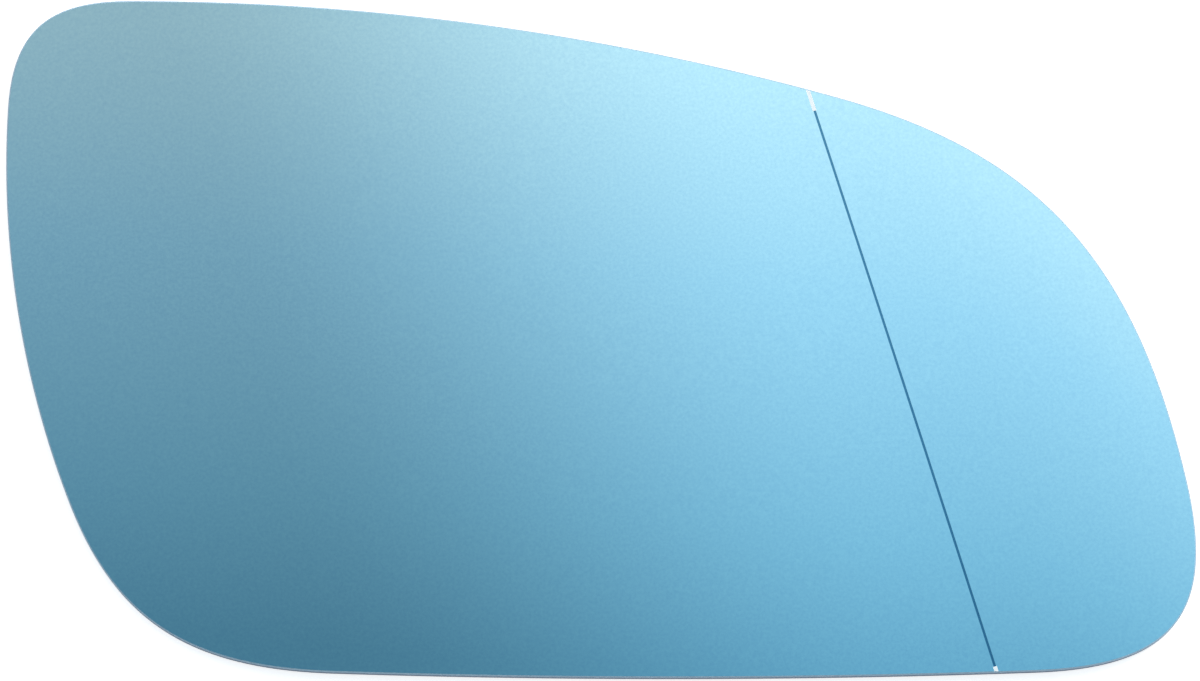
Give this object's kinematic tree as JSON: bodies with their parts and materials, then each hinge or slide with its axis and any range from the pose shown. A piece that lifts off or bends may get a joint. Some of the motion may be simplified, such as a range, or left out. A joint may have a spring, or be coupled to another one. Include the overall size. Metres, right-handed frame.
{
  "type": "door mirror glass",
  "caption": "Thin, slightly domed blue mirror glass for a car's door mirror, with soft corners, a ground rim and an engraved slanting line where the wide-angle outboard bend begins.",
  "frame": {"origin": "middle of the outline's box, at the level of the lowest rim points that the glass lies on", "axes": "+Z out of the mirrored face, +X outboard towards the wide-angle end, +Y towards the top edge as fitted on the car"},
  "size_m": [0.1698, 0.0982, 0.0054],
  "materials": {
    "blue_mirror": "blue reflecting coat on a polished bent glass sheet, ground rim, dark back coat"
  },
  "bodies": {
    "root": {"mirror_glass": "blue_mirror"}
  },
  "joints": []
}
